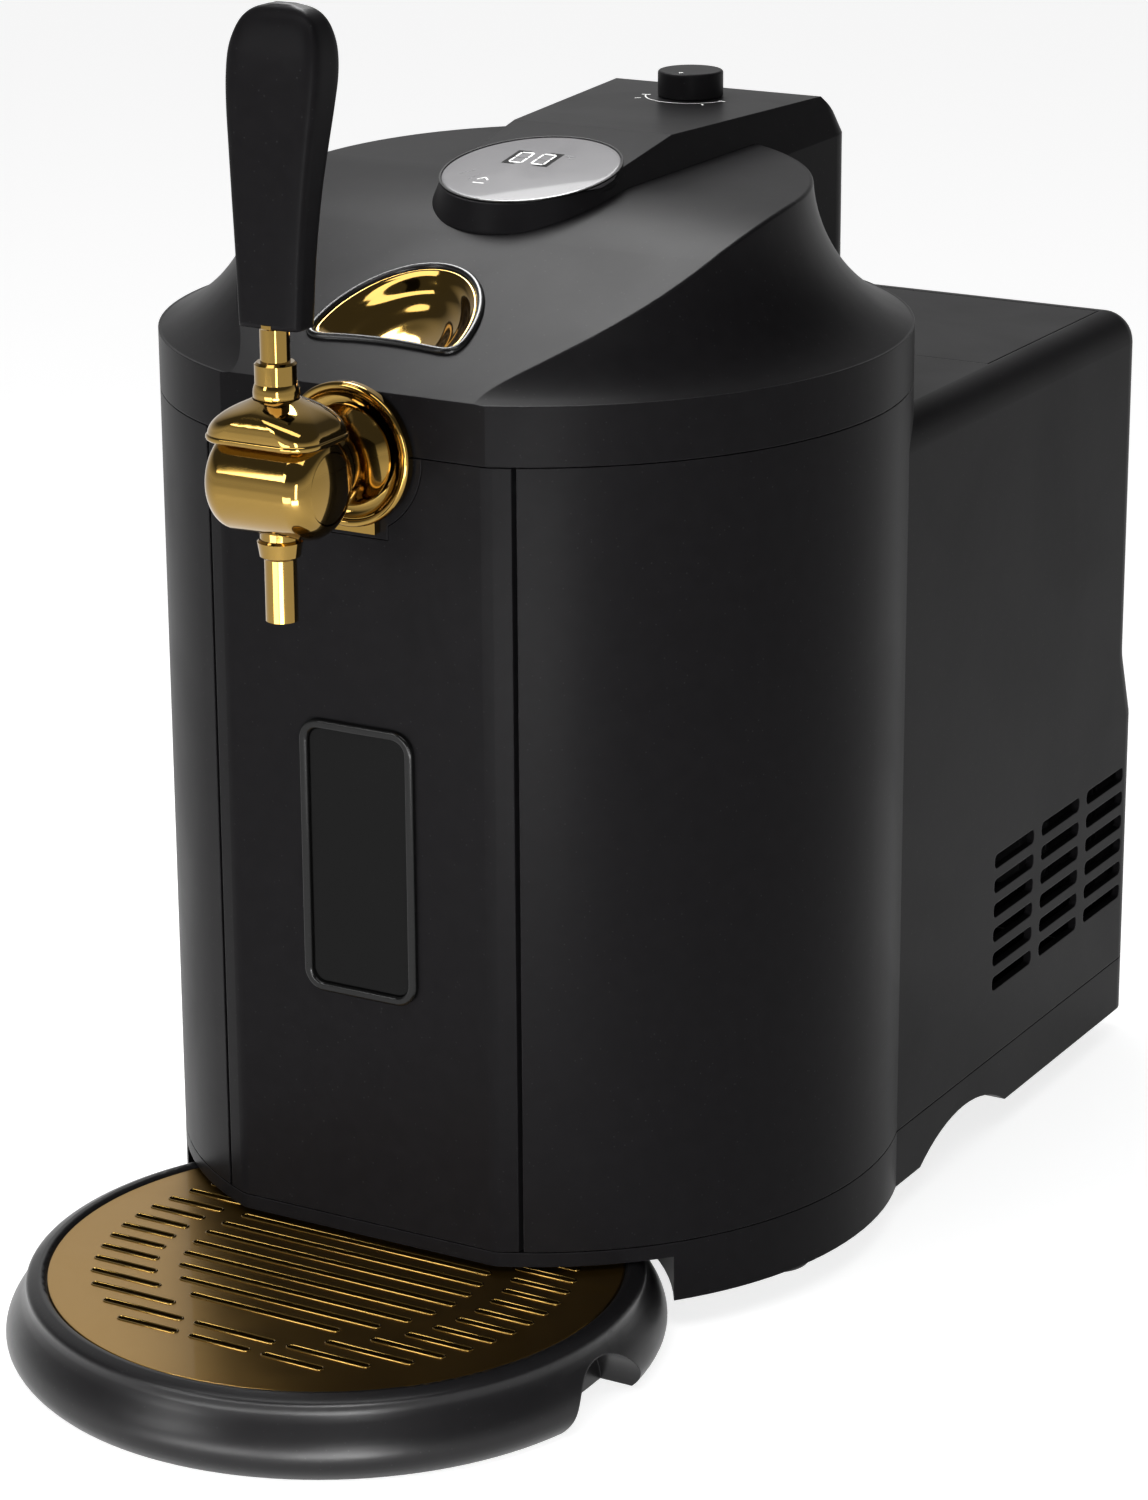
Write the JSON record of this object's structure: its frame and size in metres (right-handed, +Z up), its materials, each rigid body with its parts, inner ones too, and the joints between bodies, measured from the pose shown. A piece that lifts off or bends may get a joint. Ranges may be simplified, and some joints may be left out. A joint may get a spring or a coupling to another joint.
{
  "type": "mini keg beer dispenser",
  "caption": "Countertop cooler and dispenser for a small party keg: insulated drum with a hinged lid, lever tap, round pull-out drip tray and a rear cooling box.",
  "frame": {"origin": "on the counter, on the axis of the keg drum, which is also the middle of the outline's length and width", "axes": "+Z up, -Y towards the tap and the user, +Y towards the cooling box, +X to the user's right"},
  "size_m": [0.264, 0.5121, 0.462],
  "materials": {
    "satin_black": "satin moulded, very fine grain",
    "gloss_black": "high gloss",
    "polished_gold": "mirror-polished gold plating",
    "display_grey": "glossy printed touch glass",
    "rubber_black": "matt",
    "liner_grey": "satin",
    "foam": "rigid foam",
    "bright_steel": "zinc-plated",
    "aluminium": "bare",
    "dark_plastic": "matt",
    "circuit_board": "lacquered",
    "ceramic_white": "matt"
  },
  "bodies": {
    "housing": {"base_shell": "satin_black", "rubber_feet": "rubber_black", "base_screws": "bright_steel", "body_shell": "satin_black", "rear_top_cover": "satin_black", "front_fascia": "satin_black", "fascia_frame": "gloss_black", "fascia_window": "gloss_black", "rear_panel": "satin_black", "rear_screws": "bright_steel", "power_inlet": "dark_plastic", "chamber_liner": "liner_grey", "keg_pad": "rubber_black", "insulation_jacket": "foam", "chamber_rim": "liner_grey", "cold_block": "aluminium", "temperature_sensor": "bright_steel", "peltier_module": "ceramic_white", "heatsink": "aluminium", "fan_frame": "dark_plastic", "fan_screws": "bright_steel", "fan_duct": "dark_plastic", "power_board": "circuit_board", "hinge_pin": "bright_steel", "tap_body": "polished_gold", "tap_end_caps": "polished_gold", "tap_spout": "polished_gold", "tap_flange": "polished_gold", "tap_carrier": "satin_black", "tap_shank": "bright_steel", "shank_nut": "bright_steel", "keg_coupler": "dark_plastic"},
    "lid": {"lid_cover": "satin_black", "console_cover": "satin_black", "display_lens": "display_grey", "display_bezel": "gloss_black", "display_board": "circuit_board", "finger_pull": "polished_gold", "finger_pull_trim": "gloss_black", "lid_liner": "liner_grey", "lid_gasket": "rubber_black", "lid_foam": "foam", "regulator": "aluminium", "gas_bottle": "bright_steel", "cartridge_cradle": "dark_plastic", "lid_knuckle": "dark_plastic"},
    "knob": {"knob": "satin_black", "knob_spindle": "bright_steel"},
    "handle": {"tap_lever": "polished_gold", "tap_handle": "satin_black"},
    "plunger": {"valve_plunger": "dark_plastic"},
    "tray": {"drip_tray": "satin_black", "drip_grid": "polished_gold"},
    "rotor": {"fan_rotor": "dark_plastic"}
  },
  "joints": [
    {"name": "lid_hinge", "type": "hinge", "parent": "housing", "child": "lid", "pos_m": [0, 0.1405, 0.311], "axis": [-1, 0, 0], "range_deg": [0, 80]},
    {"name": "knob_turn", "type": "hinge", "parent": "lid", "child": "knob", "pos_m": [0, 0.113, 0.392], "axis": [0, 0, 1], "range_deg": [-75, 75]},
    {"name": "tap_lever_swing", "type": "hinge", "parent": "housing", "child": "handle", "pos_m": [0, -0.165, 0.3394], "axis": [1, 0, 0], "range_deg": [0, 25]},
    {"name": "plunger_slide", "type": "slide", "parent": "housing", "child": "plunger", "axis": [0, 1, 0], "range_m": [0, 0.0121]},
    {"name": "tray_slide", "type": "slide", "parent": "housing", "child": "tray", "axis": [0, -1, 0], "range_m": [0, 0.12]},
    {"name": "fan_spin", "type": "hinge", "parent": "housing", "child": "rotor", "pos_m": [0, 0.2, 0.228], "axis": [0, 1, 0], "continuous": true}
  ],
  "couplings": [
    {"joint": "plunger_slide", "follows": "tap_lever_swing", "m_per_rad": 0.0276}
  ]
}
